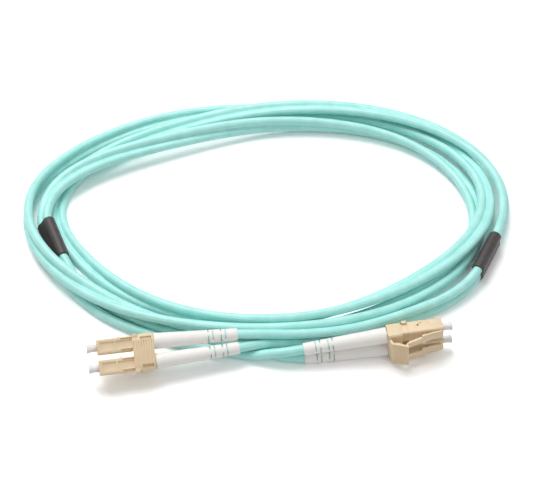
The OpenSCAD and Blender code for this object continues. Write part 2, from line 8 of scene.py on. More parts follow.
# %% Load the frame
import json
import math
import bmesh
import bpy
from mathutils import Matrix, Vector

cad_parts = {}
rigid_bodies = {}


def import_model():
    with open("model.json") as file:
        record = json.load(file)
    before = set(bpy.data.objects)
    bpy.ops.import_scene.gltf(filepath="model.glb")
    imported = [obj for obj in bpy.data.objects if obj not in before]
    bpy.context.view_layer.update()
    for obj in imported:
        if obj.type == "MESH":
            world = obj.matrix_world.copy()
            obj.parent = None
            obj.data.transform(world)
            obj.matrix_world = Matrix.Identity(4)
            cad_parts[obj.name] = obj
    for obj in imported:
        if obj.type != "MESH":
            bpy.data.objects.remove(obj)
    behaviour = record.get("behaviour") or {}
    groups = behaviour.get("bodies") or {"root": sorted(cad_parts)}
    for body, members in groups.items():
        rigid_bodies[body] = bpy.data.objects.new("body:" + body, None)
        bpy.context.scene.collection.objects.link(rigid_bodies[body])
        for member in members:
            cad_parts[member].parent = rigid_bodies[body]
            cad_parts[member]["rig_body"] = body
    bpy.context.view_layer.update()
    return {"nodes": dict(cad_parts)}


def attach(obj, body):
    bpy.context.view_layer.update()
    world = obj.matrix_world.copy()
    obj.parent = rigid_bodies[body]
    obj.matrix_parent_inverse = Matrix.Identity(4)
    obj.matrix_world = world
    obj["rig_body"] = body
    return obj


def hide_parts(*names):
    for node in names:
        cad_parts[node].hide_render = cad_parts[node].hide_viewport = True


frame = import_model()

MM = 0.001
nodes = frame["nodes"]

# %% [markdown]
# ## Camera
# A product photographer stands back with a long lens and looks down at about fifty degrees, so
# that the coil reads as an oval with little perspective. An 85 mm lens on a 36 mm sensor, less
# than half a metre away, does the same here.

# %% Camera
CAMERA_TARGET = Vector((-0.2, -4.13, 3.0)) * MM
CAMERA_DISTANCE = 423 * MM
CAMERA_ELEVATION = math.radians(50)
camera = bpy.data.objects.new("camera", bpy.data.cameras.new("camera"))
camera.data.lens = 85
camera.data.sensor_width = 36
back = Vector((0, -math.cos(CAMERA_ELEVATION), math.sin(CAMERA_ELEVATION)))
camera.location = CAMERA_TARGET + CAMERA_DISTANCE * back
camera.rotation_euler = (-back).to_track_quat("-Z", "Y").to_euler()
bpy.context.scene.collection.objects.link(camera)
bpy.context.scene.camera = camera
bpy.context.scene.view_settings.view_transform = "Standard"
print("camera at", [round(x, 3) for x in camera.location])

# %% [markdown]
# ## Material tools
# Every finish below is a small node tree on Object coordinates or on the piece's own UV map.
# Colours are written as the sRGB hex values a designer would pick, and one function turns them
# to the linear values that the shader works in. Another adds a node with its settings and links.
# Most finishes end alike: a tone shades the colour between two values, and a relief raises the
# surface, so one function joins both to the Principled shader.

# %% Material tools


def linear(hex_colour):
    """An sRGB hex colour such as #A6E4D6, as linear red, green, blue and alpha."""
    channels = [int(hex_colour[i:i + 2], 16) / 255 for i in (1, 3, 5)]
    return [c / 12.92 if c <= 0.04045 else ((c + 0.055) / 1.055) ** 2.4 for c in channels] + [1]


def add(tree, kind, inputs=None, **settings):
    """A new node of that kind. Inputs are values, or other nodes' outputs to link from."""
    made = tree.nodes.new(kind)
    for name, value in settings.items():
        setattr(made, name, value)
    for name, value in (inputs or {}).items():
        if isinstance(value, bpy.types.NodeSocket):
            tree.links.new(value, made.inputs[name])
        else:
            made.inputs[name].default_value = value
    return made


def new_material(name, **sockets):
    """A material whose Principled shader has those values on its own sockets."""
    material = bpy.data.materials.new(name)
    material.use_nodes = True
    shader = material.node_tree.nodes["Principled BSDF"]
    for socket, value in sockets.items():
        shader.inputs[socket.replace("_", " ").title().replace("Ior", "IOR")].default_value = value
    return material, material.node_tree, shader


def per_mm(size):
    """The scale of a noise whose features are about that many millimetres across."""
    return 1 / (size * MM)


def shaded(tree, shader, tone, light, dark, relief, depth, strength=1.0):
    """Shade the surface by tone between two hex colours, and raise it by relief, depth mm in all."""
    colour = add(tree, "ShaderNodeMix", {"Factor": tone, "A": linear(light), "B": linear(dark)},
                 data_type="RGBA")
    bump = add(tree, "ShaderNodeBump", {"Height": relief, "Distance": depth * MM, "Strength": strength})
    tree.links.new(colour.outputs["Result"], shader.inputs["Base Color"])
    tree.links.new(bump.outputs["Normal"], shader.inputs["Normal"])


def covered(piece, material):
    """Give a piece its one material."""
    piece.data.materials.clear()
    piece.data.materials.append(material)


def stand_in(piece, node):
    """Let a piece stand for a CAD node, and ride on the body that the node rides on."""
    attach(piece, nodes[node]["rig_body"])
    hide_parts(node)


# %% [markdown]
# ## The coil's route
# The cord is wound in about two and a half turns of an oval, and its passes are braided: each
# goes out, in, up and down once in a turn and a half, so that they cross without touching. The
# formula is the one that the CAD model uses, and it gives the middle of the cord and the roll of
# the pair of jackets at any angle round the oval.

# %% The coil's route
JACKET_D = 3.0
HALF_SPACING = 1.55
COIL_HALF = (75.5, 48.2)
COIL_MIDDLE = (-0.012 * COIL_HALF[0], 0.1217 * COIL_HALF[1])
COIL_START, COIL_END = -8.0, 903.0
# The oval's departures from an ellipse, as shares of its radius
SKEW_2, SKEW_4, SQUARE_4 = 0.045, -0.012, 0.007
LEAN_X, LEAN_Y = 0.012, 0.033
# A small angle, for the oval's direction
ANGLE_STEP = 0.01
# The braid: how far it goes out and up, where it starts, and in how many turns it repeats
WEAVE_OUT, WEAVE_UP, WEAVE_PHASE, WEAVE_TURNS = 5.0, 2.2, 10.0, 1.5
PASS_HEIGHT = 4.1
ROLL_MEAN, ROLL_SWING = 90.0, 105.0
# Stretches where a pass lies off the braid: angle, half width, outward and upward in jacket
# diameters, and roll
LOCAL_BENDS = [(58, 50, -0.67, 0.27, 0), (187, 60, -0.63, -0.13, 15), (310, 80, 0.83, 0, 0),
               (474, 45, 1.27, 0, 0), (620, 60, -0.83, -0.37, 80), (685, 70, 0.9, 0, 0),
               (735, 50, -0.73, 0, 0), (850, 45, -0.7, 0.07, 0), (911, 40, 0.53, -0.33, -45)]


def sin(degrees):
    return math.sin(math.radians(degrees))


def cos(degrees):
    return math.cos(math.radians(degrees))


def oval(t):
    """The oval's middle line at an angle in degrees, seen from above."""
    share = (1 + SKEW_2 * sin(2 * t) + LEAN_X * (cos(t) - cos(3 * t)) + LEAN_Y * (sin(t) + sin(3 * t))
             - SQUARE_4 * (1 - cos(4 * t)) + SKEW_4 * sin(4 * t))
    return Vector((COIL_MIDDLE[0] + share * COIL_HALF[0] * cos(t),
                   COIL_MIDDLE[1] + share * COIL_HALF[1] * sin(t)))


def bend(t, part):
    """The sum of the local bends at an angle, for one column of their list."""
    return sum(cos(90 * min(1, abs(t - b[0]) / b[1])) ** 2 * b[part] for b in LOCAL_BENDS)


def weave(t):
    """How far the braid has run at an angle round the coil, in degrees of its own."""
    return (t + WEAVE_PHASE) / WEAVE_TURNS


def coil_point(t):
    """The cord's middle at an angle round the coil."""
    ahead = (oval(t + ANGLE_STEP) - oval(t - ANGLE_STEP)).normalized()
    outward = Vector((ahead.y, -ahead.x))
    flat = oval(t) + (WEAVE_OUT * cos(weave(t)) + JACKET_D * bend(t, 2)) * outward
    return Vector((flat.x, flat.y, PASS_HEIGHT + WEAVE_UP * sin(2 * weave(t)) + JACKET_D * bend(t, 3)))


def coil_roll(t):
    """How far the pair of jackets is turned about the cord's middle, in degrees."""
    return ROLL_MEAN + ROLL_SWING * sin(weave(t)) + bend(t, 4)


# %% [markdown]
# Both split sleeves are straight, so the cord and the legs are straight inside them. The zip cord
# ends in the middle of each sleeve, where the two legs begin.

# %% The split sleeves' lines
SLEEVE_LENGTH = 16.4
SLEEVE_LEAD = 1.5
# Angles round the coil: the stretch that sleeve b spans, and the one that gives sleeve a's heading
SLEEVE_B_SPAN = 18.5
SLEEVE_A_LEAD = 0.5
a_lead = coil_point(COIL_START) - coil_point(COIL_START - SLEEVE_A_LEAD)
# Each sleeve's inner mouth, its direction, the pair's roll, and 1 where that direction runs with
# the coil or -1 where it runs against it
SLEEVES = {
    "a": (coil_point(COIL_START), -Vector((a_lead.x, a_lead.y, 0)).normalized(), coil_roll(COIL_START), -1),
    "b": (coil_point(COIL_END), (coil_point(COIL_END + SLEEVE_B_SPAN) - coil_point(COIL_END)).normalized(),
          coil_roll(COIL_END), 1),
}


def sleeve_point(end, distance):
    """A point on a sleeve's line, that far past its inner mouth."""
    inner, away = SLEEVES[end][:2]
    return inner + away * (SLEEVE_LEAD + distance)


def right_of(direction):
    return Vector((direction.y, -direction.x, 0)).normalized()


def across(point, direction, roll, u, v):
    """A point of a cord's section, u along the pair of jackets and v across it."""
    right = right_of(direction)
    above = right.cross(direction)
    return point + right * (u * cos(roll) - v * sin(roll)) + above * (u * sin(roll) + v * cos(roll))


# %% [markdown]
# ## Sweeping a cord
# An extruded jacket has the same section all along, so a cord is that section swept along the
# route. Each ring is square to the route, and neighbouring rings are joined by faces. The piece's
# own UV map runs along the cord in u and round it in v, in centimetres along the length, so that
# a finish can follow the jacket round every bend.

# %% Sweeping a cord
# The UV map is in centimetres along the cord
UV_PER_MM = 0.1


def directions(points):
    last = len(points) - 1
    return [(points[min(i + 1, last)] - points[max(i - 1, 0)]).normalized() for i in range(last + 1)]


def joined(made, rings, closed=False):
    """Join each ring of points to the next by a row of faces, and return the rows."""
    count = len(rings[0])
    pairs = zip(rings, rings[1:] + rings[:1] if closed else rings[1:])
    return [[made.faces.new((ring[k], ring[(k + 1) % count], after[(k + 1) % count], after[k]))
             for k in range(count)] for ring, after in pairs]


def on_floor(point):
    return Vector((point.x, point.y, max(0.0, point.z)))


def finished(name, made):
    """Turn a bmesh into an object at the origin."""
    mesh = bpy.data.meshes.new(name)
    made.to_mesh(mesh)
    made.free()
    piece = bpy.data.objects.new(name, mesh)
    bpy.context.scene.collection.objects.link(piece)
    print(name, len(mesh.polygons), "faces")
    return piece


def swept(name, points, rolls, section):
    """A closed tube with that section, in millimetres, at every point of the route."""
    made = bmesh.new()
    rings = [[made.verts.new(on_floor(across(p, d, roll, u, v)) * MM) for u, v in section]
             for p, d, roll in zip(points, directions(points), rolls)]
    uv = made.loops.layers.uv.new("UVMap")
    along = [0.0]
    for p, q in zip(points, points[1:]):
        along.append(along[-1] + (q - p).length * UV_PER_MM)
    for i, row in enumerate(joined(made, rings)):
        for k, face in enumerate(row):
            face.smooth = True
            corners = ((i, k), (i, k + 1), (i + 1, k + 1), (i + 1, k))
            for loop, (ring, place) in zip(face.loops, corners):
                loop[uv].uv = (along[ring], place / len(section))
    made.faces.new(reversed(rings[0]))
    made.faces.new(rings[-1])
    bmesh.ops.recalc_face_normals(made, faces=made.faces)
    return finished(name, made)


def length_of(points):
    return sum((q - p).length for p, q in zip(points, points[1:]))


# %% [markdown]
# ## Zip cord
# The section is two round jackets that touch through a thin web, with a groove on each side. It
# is drawn with fifteen points round each jacket and one point in the bottom of each groove.

# %% Zip cord
# Where a jacket meets the web, and the web's thickness as a share of the gap there
WEB_ANGLE = 25
WEB_DEPTH = 0.92
LOBE_STEPS = 14
lobe = [(180 - WEB_ANGLE) * (2 * k / LOBE_STEPS - 1) for k in range(LOBE_STEPS + 1)]
jacket_r = JACKET_D / 2
half_web = WEB_DEPTH * jacket_r * sin(WEB_ANGLE)
zip_section = [(HALF_SPACING + jacket_r * cos(g), jacket_r * sin(g)) for g in lobe] + [(0, half_web)]
zip_section += [(-HALF_SPACING - jacket_r * cos(g), -jacket_r * sin(g)) for g in lobe] + [(0, -half_web)]

COIL_STEP = 1.5
coil_steps = round((COIL_END - COIL_START) / COIL_STEP)
coil_angles = [COIL_START + (COIL_END - COIL_START) * i / coil_steps for i in range(coil_steps + 1)]
zip_points = [sleeve_point("a", SLEEVE_LENGTH / 2), sleeve_point("a", 0)]
zip_points += [coil_point(t) for t in coil_angles]
zip_points += [sleeve_point("b", 0), sleeve_point("b", SLEEVE_LENGTH / 2)]
zip_rolls = [SLEEVES["a"][2]] * 2 + [coil_roll(t) for t in coil_angles] + [SLEEVES["b"][2]] * 2
zip_cord = swept("zip_cord_jacket", zip_points, zip_rolls, zip_section)

# %% [markdown]
# ## Legs
# Each leg is one round jacket. It leaves the sleeve beside its twin, crosses the floor, and rises
# into its boot. The points are the CAD model's own, and a centripetal spline rounds the corners
# between them. The clips' places are needed here, because a leg ends inside its boot.

# %% Where the plugs lie


def round_coil(angle, share, height):
    """A place by its angle round the coil, its share of the oval's half sizes, and its height."""
    return Vector((COIL_MIDDLE[0] + share * COIL_HALF[0] * cos(angle),
                   COIL_MIDDLE[1] + share * COIL_HALF[1] * sin(angle), height))


CLIP_W, CLIP_T = 11.41, 5.8
CLIPS = {"a": (round_coil(249.7, 1.299, 1.41 * CLIP_T), (149.3, -2.9, 190.6)),
         "b": (round_coil(294.34, 1.2167, 0.52 * CLIP_W), (85.8, -4, 7.3))}
PLUGS = ("a1", "a2", "b1", "b2")
PLUG_PITCH = 6.25
MOUTH_PITCH = 4.2
BOOT_LENGTH = 26.0
BOOT_GAP = 0.1
BOOT_LEAN = math.asin((PLUG_PITCH - MOUTH_PITCH) / 2 / (BOOT_LENGTH + BOOT_GAP))


def side_of(plug):
    return -1 if plug[1] == "1" else 1


def clip_matrix(end):
    """The clip's frame in millimetres: +X to the plugs' tips, +Z to the latch side."""
    place, (about_x, about_y, about_z) = CLIPS[end]
    turn = Matrix.Rotation(math.radians(about_z), 4, "Z")
    turn @= Matrix.Rotation(math.radians(about_y), 4, "Y")
    turn @= Matrix.Rotation(math.radians(about_x), 4, "X")
    return Matrix.Translation(place) @ turn


def plug_matrix(plug):
    return clip_matrix(plug[0]) @ Matrix.Translation((0, side_of(plug) * PLUG_PITCH / 2, 0))


def tail_matrix(plug):
    """The boot's frame, which leans towards its twin."""
    return plug_matrix(plug) @ Matrix.Rotation(side_of(plug) * BOOT_LEAN, 4, "Z")


# %% [markdown]
# Each route is a list of places. They were set in millimetres and then written round the
# coil, as an angle, a share of its oval and a height, so that a leg follows the coil when its size
# changes. At a height of 0.55 jacket diameters a leg lies on the floor.

# %% Leg routes
LEG_LOBES = {"a1": -1, "a2": 1, "b1": -1, "b2": 1}
# Angle round the coil, share of the oval's half sizes, and height in jacket diameters
LEG_ROUTES = {
    "a1": [(324.9, 1.065, 0.7), (319.4, 1.069, 0.55), (314.1, 1.068, 0.55), (309.1, 1.061, 0.55),
           (304, 1.056, 0.55), (297.3, 1.055, 0.55), (290.7, 1.063, 0.55), (284.7, 1.066, 0.55),
           (278.8, 1.069, 0.75), (275, 1.075, 1), (272, 1.088, 1.3), (269.2, 1.112, 1.6)],
    "a2": [(325.1, 1.059, 1.75), (319.7, 1.061, 1.65), (314.4, 1.058, 1.6), (309.5, 1.051, 1.6),
           (304.5, 1.047, 1.6), (297.5, 1.048, 1.6), (291, 1.053, 1.65), (284.8, 1.06, 1.85),
           (278.9, 1.065, 2.1), (274.2, 1.067, 2.25), (270.2, 1.069, 2.4)],
    "b1": [(209.3, 0.971, 1.35), (215.3, 0.988, 0.9), (221.8, 1.002, 0.6), (230, 1.018, 0.55),
           (237.6, 1.029, 0.55), (244.4, 1.042, 0.55), (251, 1.053, 0.55), (257, 1.062, 0.55),
           (261.8, 1.073, 0.55), (265.4, 1.087, 0.55), (268.3, 1.106, 0.55), (270.9, 1.135, 0.55),
           (273.3, 1.166, 0.55)],
    "b2": [(209.5, 1.014, 0.75), (216, 1.039, 0.55), (222.8, 1.057, 0.55), (231, 1.08, 0.55),
           (238.4, 1.094, 0.55), (245, 1.105, 0.55), (251.3, 1.119, 0.55), (257.3, 1.128, 0.55),
           (261.6, 1.14, 0.55), (264.7, 1.152, 0.55), (267.1, 1.165, 0.75), (269.3, 1.174, 1.1),
           (271.3, 1.181, 1.45), (273.4, 1.187, 1.75)],
}
LEG_STOP = 5.1
SPLINE_STEPS = 8


def leg_points(plug):
    away, roll, sense = SLEEVES[plug[0]][1:]
    lobe_side = LEG_LOBES[plug] * HALF_SPACING
    start = [across(sleeve_point(plug[0], s), sense * away, roll, lobe_side, 0)
             for s in (SLEEVE_LENGTH / 2, SLEEVE_LENGTH)]
    tail = tail_matrix(plug)
    mouth = BOOT_LENGTH + BOOT_GAP
    stops = [tail @ Vector((-s, 0, 0)) for s in (mouth, mouth - JACKET_D, LEG_STOP)]
    return start + [round_coil(f, share, h * JACKET_D) for f, share, h in LEG_ROUTES[plug]] + stops


def spline(points):
    """Centripetal Catmull-Rom through every point; the first and last stretches stay straight."""
    ends = [points[0] * 2 - points[1]] + points + [points[-1] * 2 - points[-2]]
    out = []
    for i in range(1, len(ends) - 2):
        p = ends[i - 1:i + 3]
        knots = [0.0]
        for a, b in zip(p, p[1:]):
            knots.append(knots[-1] + math.sqrt((b - a).length))
        straight = i in (1, len(ends) - 3)
        for k in range(SPLINE_STEPS):
            share = k / SPLINE_STEPS
            if straight:
                out.append(p[1].lerp(p[2], share))
                continue
            t = knots[1] + (knots[2] - knots[1]) * share
            a = [p[j].lerp(p[j + 1], (t - knots[j]) / (knots[j + 1] - knots[j])) for j in range(3)]
            b = [a[j].lerp(a[j + 1], (t - knots[j]) / (knots[j + 2] - knots[j])) for j in range(2)]
            out.append(b[0].lerp(b[1], share))
    return out + [points[-1]]


LEG_SIDES = 24
leg_angles = [360 * k / LEG_SIDES for k in range(LEG_SIDES)]
leg_section = [(jacket_r * cos(g), jacket_r * sin(g)) for g in leg_angles]
leg_lines = {plug: spline(leg_points(plug)) for plug in PLUGS}
legs = {plug: swept(f"leg_{plug}_jacket", line, [0] * len(line), leg_section)
        for plug, line in leg_lines.items()}

# %% [markdown]
# Each cord then stands for its CAD node. Its length and the points that it follows are worked out
# in metres, and the lengths are printed.

zip_length = length_of(zip_points) * MM
stand_in(zip_cord, "zip_cord")
for plug, leg in legs.items():
    line = leg_lines[plug]
    stand_in(leg, f"leg_{plug}")
    length_of(line) * MM
    [p * MM for p in line]
leg_lengths = [round(length_of(line)) for line in leg_lines.values()]
print("zip cord", round(zip_length, 3), "m; legs", leg_lengths, "mm")

# %% [markdown]
# ## Jacket finish
# The jacket is a low-smoke flame-retardant thermoplastic, extruded over the fibre and yarn. It
# comes out of the die smooth and slightly glossy, with faint lines along its length and a very
# slight mottle from the filler. The lines follow the cord because they read its UV map.

# %% Jacket finish
AQUA_LIGHT, AQUA_DARK = "#B8F5F0", "#A3E7DF"
# The lines that the die leaves: how many follow each other in a centimetre, and how many go round
DIE_LINES = (0.35, 42, 1)


def jacket_material():
    material, tree, shader = new_material("extruded aqua LSZH jacket", roughness=0.42, ior=1.5,
                                          coat_weight=0.12, coat_roughness=0.3)
    place = add(tree, "ShaderNodeTexCoord")
    stretch = add(tree, "ShaderNodeMapping", {"Vector": place.outputs["UV"], "Scale": DIE_LINES})
    lines = add(tree, "ShaderNodeTexNoise", {
        "Vector": stretch.outputs["Vector"], "Scale": 1.0, "Detail": 2.0})
    mottle = add(tree, "ShaderNodeTexNoise", {
        "Vector": place.outputs["Object"], "Scale": per_mm(4.0), "Detail": 3.0})
    both = add(tree, "ShaderNodeMath", {0: lines.outputs["Fac"], 1: mottle.outputs["Fac"]},
               operation="MULTIPLY")
    shade = add(tree, "ShaderNodeMapRange", {
        "Value": both.outputs["Value"], "From Min": 0.15, "From Max": 0.4})
    # The real skin is finer than this, but a finer grain wouldn't show
    fine = add(tree, "ShaderNodeTexNoise", {
        "Vector": place.outputs["Object"], "Scale": per_mm(0.35), "Detail": 3.0})
    relief = add(tree, "ShaderNodeMath", {0: lines.outputs["Fac"], 1: 2.0, 2: fine.outputs["Fac"]},
                 operation="MULTIPLY_ADD")
    shaded(tree, shader, shade.outputs["Result"], AQUA_LIGHT, AQUA_DARK, relief.outputs["Value"], 0.012)
    return material


aqua_jacket = jacket_material()
covered(zip_cord, aqua_jacket)
for leg in legs.values():
    covered(leg, aqua_jacket)
print("jacket:", aqua_jacket.name)

# %% [markdown]
# ## Moulded pieces
# Clips, triggers, plug bodies and latches are injection moulded. A mould never leaves a knife
# edge, and the small round on every edge is what catches the light. The CAD solids already have
# the right form, so each is copied, its doubled points merged, its flat faces joined, and its
# sharp edges bevelled.

# %% Rounded copies of the moulded pieces
SHARP = math.radians(28)
# Points closer than this are one point, and faces within this angle are one face
MERGE = 0.0005 * MM
LEVEL = math.radians(0.5)
# How wide the round on an edge is, in millimetres
CLIP_ROUND, HOUSING_ROUND, LATCH_ROUND = 0.1, 0.08, 0.12


def smoothed(name, made, sharp=math.pi):
    """An object that is shaded smooth all over, but for edges past the sharp angle."""
    for face in made.faces:
        face.smooth = True
    piece = finished(name, made)
    piece.data.set_sharp_from_angle(angle=sharp)
    return piece


def rounded(node, width):
    """A copy of a CAD node with its sharp edges rounded, standing for that node."""
    made = bmesh.new()
    made.from_mesh(nodes[node].data)
    bmesh.ops.remove_doubles(made, verts=made.verts, dist=MERGE)
    bmesh.ops.dissolve_limit(made, angle_limit=LEVEL, verts=made.verts, edges=made.edges)
    sharp = [e for e in made.edges if len(e.link_faces) == 2 and e.calc_face_angle() > SHARP]
    bmesh.ops.bevel(made, geom=sharp, offset=width * MM, offset_type="OFFSET", segments=2,
                    profile=0.5, affect="EDGES", clamp_overlap=True, material=-1)
    piece = smoothed(f"{node}_moulding", made, SHARP)
    stand_in(piece, node)
    return piece


moulded = [rounded(f"clip_{end}", CLIP_ROUND) for end in CLIPS]
moulded += [rounded(f"housing_{plug}", HOUSING_ROUND) for plug in PLUGS]
moulded += [rounded(f"latch_{plug}", LATCH_ROUND) for plug in PLUGS]

# %% [markdown]
# ## Triggers
# The trigger is one bent plate: a steep root on its hinge pin, a bend, a flat that the finger
# presses, and a lip over the two latches. Grooves run right across the flat for grip. Its side
# outline, with the grooves in it, is drawn in the clip's X and Z, made into a face, and extruded
# across the plate's width.

# %% Triggers
TRIGGER_W, TRIGGER_T = 9.0, 0.8
# The hinge pin lies on the clip with a small gap under it
PIN_R, PIN_GAP = 0.4, 0.05
PIN = Vector((0.6, CLIP_T / 2 + PIN_GAP + PIN_R))
PIN_ARC = (70, 35, 0, -35, -70)
ROOT_LENGTH, ROOT_ANGLE, FLAT_ANGLE = 0.8, 79, 23.5
# The root is a little narrower than the pin
ROOT_SHARE = 0.9
BEND_R, BEND_STEPS = 1.0, 6
TRIGGER_REACH, LIP_T, LIP_DEPTH = 5.5, 0.5, 1.6
WEDGE_FROM, WEDGE_TO, WEDGE_T = 1.4, 2.6, 0.35
GROOVES, GROOVE_HALF_W, GROOVE_DEPTH = 8, 0.14, 0.17
# Where the first and the last groove stand, in steps from the flat's ends, and a groove's
# section in shares of its half width and its depth
GROOVE_LEAD, GROOVE_TAIL = 0.6, 0.8
GROOVE_SECTION = ((-1, 0), (-0.7, 1), (0.7, 1), (1, 0))
PLATE_ROUND = 0.06
PLATE_CORNER = math.radians(60)


def heading(angle):
    """A step of 1 mm at an angle to the clip's X."""
    return Vector((cos(angle), sin(angle)))


def square_to(angle):
    """A step of 1 mm square to that heading, to its left."""
    return Vector((-sin(angle), cos(angle)))


def lever_outline():
    """The trigger's side view in the clip's X and Z, from the pin over the top and back."""
    bend_middle = PIN + ROOT_LENGTH * heading(ROOT_ANGLE) - BEND_R * square_to(ROOT_ANGLE)
    turns = [ROOT_ANGLE + (FLAT_ANGLE - ROOT_ANGLE) * k / BEND_STEPS for k in range(BEND_STEPS + 1)]
    flat = bend_middle + BEND_R * square_to(FLAT_ANGLE)
    along, up = heading(FLAT_ANGLE), square_to(FLAT_ANGLE)
    length = (TRIGGER_REACH - flat.x) / along.x
    tip = flat + length * along
    half = TRIGGER_T / 2
    drop = Vector((0, half / along.x))
    points = [PIN + ROOT_SHARE * PIN_R * square_to(ROOT_ANGLE)]
    points += [bend_middle + (BEND_R + half) * square_to(a) for a in turns]
    step = length / (GROOVES - 1 + GROOVE_LEAD + GROOVE_TAIL)
    for k in range(GROOVES):
        middle = step * (k + GROOVE_LEAD)
        for s, depth in GROOVE_SECTION:
            points.append(flat + (middle + s * GROOVE_HALF_W) * along + (half - depth * GROOVE_DEPTH) * up)
    lip = tip + drop
    points += [lip, lip - Vector((0, LIP_DEPTH)), lip - Vector((LIP_T, LIP_DEPTH))]
    points.append(tip - Vector((LIP_T, LIP_T * along.y / along.x)) - drop)
    points += [flat + WEDGE_TO * along - half * up, flat + WEDGE_FROM * along - (half + WEDGE_T) * up]
    points += [bend_middle + (BEND_R - half) * square_to(a) for a in reversed(turns)]
    points += [PIN + PIN_R * heading(180 + ROOT_ANGLE + g) for g in PIN_ARC]
    return points


def trigger_plate(end):
    made = bmesh.new()
    side = made.faces.new([made.verts.new((p.x, TRIGGER_W / 2, p.y)) for p in lever_outline()])
    grown = bmesh.ops.extrude_face_region(made, geom=[side])["geom"]
    far_side = [v for v in grown if isinstance(v, bmesh.types.BMVert)]
    bmesh.ops.translate(made, vec=(0, -TRIGGER_W, 0), verts=far_side)
    bmesh.ops.recalc_face_normals(made, faces=made.faces)
    rim = [e for e in made.edges if abs(e.verts[0].co.y - e.verts[1].co.y) < TRIGGER_W / 2]
    rim += [e for e in made.edges if e not in rim and e.calc_face_angle() > PLATE_CORNER]
    bmesh.ops.bevel(made, geom=rim, offset=PLATE_ROUND, offset_type="OFFSET", segments=2, profile=0.5,
                    affect="EDGES", clamp_overlap=True, material=-1)
    bmesh.ops.transform(made, matrix=Matrix.Scale(MM, 4) @ clip_matrix(end), verts=made.verts)
    piece = smoothed(f"trigger_{end}_plate", made, SHARP)
    stand_in(piece, f"trigger_{end}")
    return piece


moulded += [trigger_plate(end) for end in CLIPS]

# %% [markdown]
# ## Beige engineering plastic
# Multimode plugs are moulded in beige. The glass-filled polymer is satin rather than glossy, with
# a fine spark-eroded grain from the mould and a faint cloudiness in its colour.

# %% Beige plastic


def beige_material():
    material, tree, shader = new_material("moulded beige PBT", roughness=0.48, ior=1.52,
                                          subsurface_weight=0.1, subsurface_scale=0.5 * MM)
    place = add(tree, "ShaderNodeTexCoord").outputs["Object"]
    cloud = add(tree, "ShaderNodeTexNoise", {"Vector": place, "Scale": per_mm(3.0), "Detail": 3.0})
    # Spark erosion leaves pits of about 0.05 mm; they are drawn three times as coarse, to show
    spark = add(tree, "ShaderNodeTexNoise", {"Vector": place, "Scale": per_mm(0.16), "Detail": 3.0})
    shaded(tree, shader, cloud.outputs["Fac"], "#F0DCBC", "#E3CBA5", spark.outputs["Fac"], 0.01, 0.6)
    return material


beige = beige_material()
for piece in moulded:
    covered(piece, beige)
print(len(moulded), "pieces in", beige.name)

# %% [markdown]
# ## Split sleeves
# Where the zip cord splits, a short piece of heat-shrink tube holds the two jackets together. It
# shrinks onto both lobes, so it has a shallow waist between them, and its cut ends roll in a
# little. The sleeve is a ring of the pair's outline, carried along outside and back inside, which
# makes a closed tube with a real wall. Its rings are joined as a cord's are, because the bridge
# operator can twist two rings that lie in one plane, as those at the cut ends do.

# %% Split sleeves
SLEEVE_WALL = 0.6
SLEEVE_BORE = 0.1
SLEEVE_WAIST = 0.22
SLEEVE_RIPPLE = 0.03
SLEEVE_TURNS = 12
# The rolled end of the tube: distance from its mouth, and how far it stands off the jackets
SLEEVE_LIP = [(0.0, 0.38), (0.08, 0.5), (0.3, 0.57), (0.7, SLEEVE_WALL)]


def sleeve_outline(radius, waist):
    """The outline round two lobes, with its long sides drawn in by the waist."""
    quarter = [-90 + 180 * k / SLEEVE_TURNS for k in range(SLEEVE_TURNS + 1)]
    side = [0.5, 0, -0.5]
    right = [(HALF_SPACING + radius * cos(g), radius * sin(g)) for g in quarter]
    top = [(HALF_SPACING * u, radius - waist * (1 - u * u)) for u in side]
    return right + top + [(-u, -v) for u, v in right + top]


def shrink_sleeve(end):
    away, roll, sense = SLEEVES[end][1:]
    middle = [(SLEEVE_LENGTH * k / 10, SLEEVE_WALL - SLEEVE_RIPPLE * (k % 2)) for k in range(1, 10)]
    outside = SLEEVE_LIP + middle + [(SLEEVE_LENGTH - s, grow) for s, grow in reversed(SLEEVE_LIP)]
    inside = [(SLEEVE_LENGTH * k / 4, SLEEVE_BORE) for k in (4, 3, 2, 1, 0)]
    made = bmesh.new()
    rings = []
    for s, grow in outside + inside:
        waist = SLEEVE_WAIST * grow / SLEEVE_WALL if grow > SLEEVE_BORE else 0
        rings.append([made.verts.new(across(sleeve_point(end, s), sense * away, roll, u, v) * MM)
                      for u, v in sleeve_outline(jacket_r + grow, waist)])
    joined(made, rings, closed=True)
    bmesh.ops.recalc_face_normals(made, faces=made.faces)
    piece = smoothed(f"split_sleeve_{end}_tube", made)
    stand_in(piece, f"split_sleeve_{end}")
    return piece


sleeve_tubes = [shrink_sleeve(end) for end in SLEEVES]

# %% [markdown]
# Heat-shrink tube is a dark polyolefin with a satin skin. Shrinking leaves it very slightly
# rippled, and dust dulls it in patches.

# %% Shrink tube finish


def shrink_material():
    material, tree, shader = new_material("dark shrink tube", roughness=0.5, ior=1.5)
    place = add(tree, "ShaderNodeTexCoord").outputs["Object"]
    patch = add(tree, "ShaderNodeTexNoise", {"Vector": place, "Scale": per_mm(2.2), "Detail": 3.0})
    dull = add(tree, "ShaderNodeMapRange", {"Value": patch.outputs["Fac"], "To Min": 0.4, "To Max": 0.58})
    tree.links.new(dull.outputs["Result"], shader.inputs["Roughness"])
    ripple = add(tree, "ShaderNodeTexNoise", {"Vector": place, "Scale": per_mm(1.1), "Detail": 5.0})
    shaded(tree, shader, patch.outputs["Fac"], "#413A38", "#2A2526", ripple.outputs["Fac"], 0.05, 0.7)
    return material


dark_tube = shrink_material()
for piece in sleeve_tubes:
    covered(piece, dark_tube)
print(len(sleeve_tubes), "pieces in", dark_tube.name)

